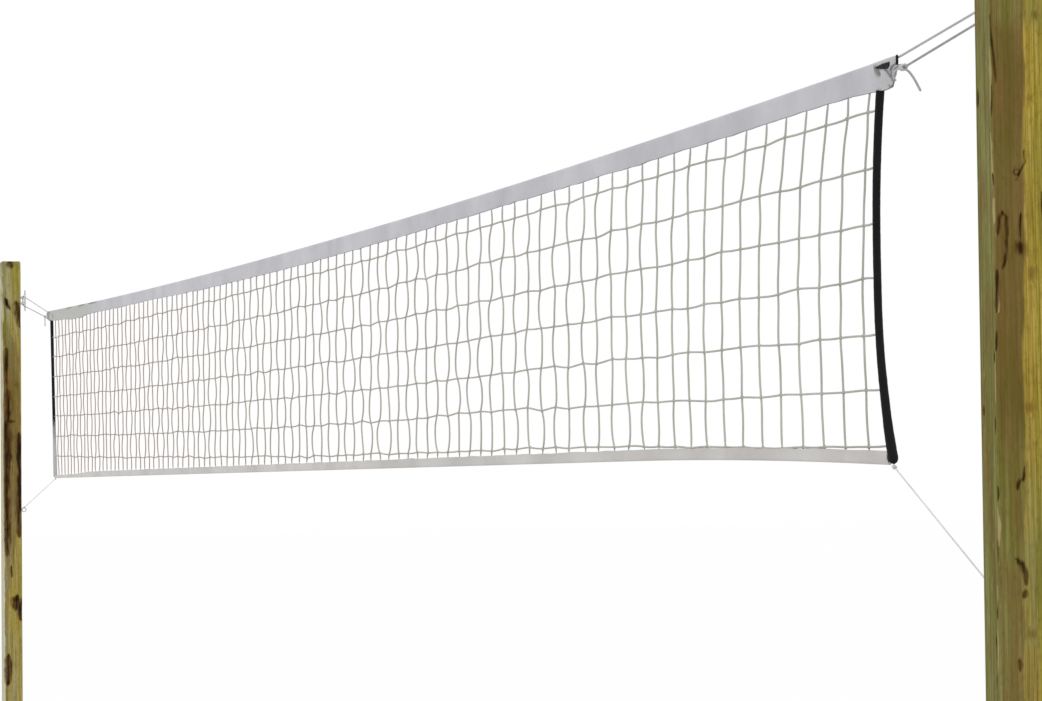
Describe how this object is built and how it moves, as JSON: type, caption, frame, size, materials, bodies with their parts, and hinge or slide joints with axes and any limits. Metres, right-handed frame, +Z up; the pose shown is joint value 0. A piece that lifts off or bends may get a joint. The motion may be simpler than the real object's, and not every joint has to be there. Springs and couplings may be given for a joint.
{
  "type": "volleyball net between posts",
  "caption": "Long outdoor volleyball net with a folded headband and foot tape, roped at its corners to two square timber posts.",
  "frame": {"origin": "on the ground, midway between the posts, under the middle of the whole", "axes": "+X along the net to the right post, +Z up, seen from -Y with the posts before the net"},
  "size_m": [11.4635, 0.1349, 2.75],
  "materials": {
    "timber": "weathered pressure-treated",
    "galvanised": "galvanised",
    "zinc_steel": "zinc plated",
    "band_cloth": "coated cloth",
    "tape_cloth": "woven tape",
    "net_twine": "knotted twine",
    "white_rope": "twisted rope",
    "tie_cord": "thin cord",
    "black_cloth": "webbing",
    "rod": "glass-fibre rod"
  },
  "bodies": {
    "posts": {"left_post": "timber", "right_post": "timber", "left_cleat": "galvanised", "right_cleat": "galvanised", "cleat_screws": "zinc_steel", "left_foot_eye": "zinc_steel", "right_foot_eye": "zinc_steel"},
    "net": {"headband": "band_cloth", "head_rope": "white_rope", "netting": "net_twine", "foot_band": "tape_cloth", "foot_rope": "tie_cord", "left_side_sleeve": "black_cloth", "right_side_sleeve": "black_cloth", "left_side_rod": "rod", "right_side_rod": "rod", "left_corner_tab": "black_cloth", "right_corner_tab": "black_cloth", "left_corner_knot": "white_rope", "right_corner_knot": "white_rope", "left_rope_loop": "white_rope", "right_rope_loop": "white_rope", "left_rope_hitch": "white_rope", "left_rope_tail": "white_rope", "right_rope_tail": "white_rope", "left_foot_knot": "tie_cord", "right_foot_knot": "tie_cord"},
    "left_tie": {"left_foot_tie": "tie_cord", "left_tie_loop": "tie_cord"},
    "right_tie": {"right_foot_tie": "tie_cord", "right_tie_loop": "tie_cord"}
  },
  "joints": [
    {"name": "net_swing", "type": "hinge", "parent": "posts", "child": "net", "pos_m": [-5.68425, 0.05216, 2.549], "axis": [1, 0, -0.0067], "range_deg": [-4, 4]},
    {"name": "right_tie_swing", "type": "hinge", "parent": "posts", "child": "right_tie", "pos_m": [5.68934, 0.05216, 1.356], "axis": [0, 0, 1], "range_deg": [-5.2, 5.2]},
    {"name": "left_tie_swing", "type": "hinge", "parent": "posts", "child": "left_tie", "pos_m": [-5.68425, 0.05216, 1.476], "axis": [0, 0, 1], "range_deg": [-3.6, 3.6]}
  ],
  "couplings": [
    {"joint": "right_tie_swing", "follows": "net_swing", "ratio": -1.2755},
    {"joint": "left_tie_swing", "follows": "net_swing", "ratio": 0.8715}
  ]
}
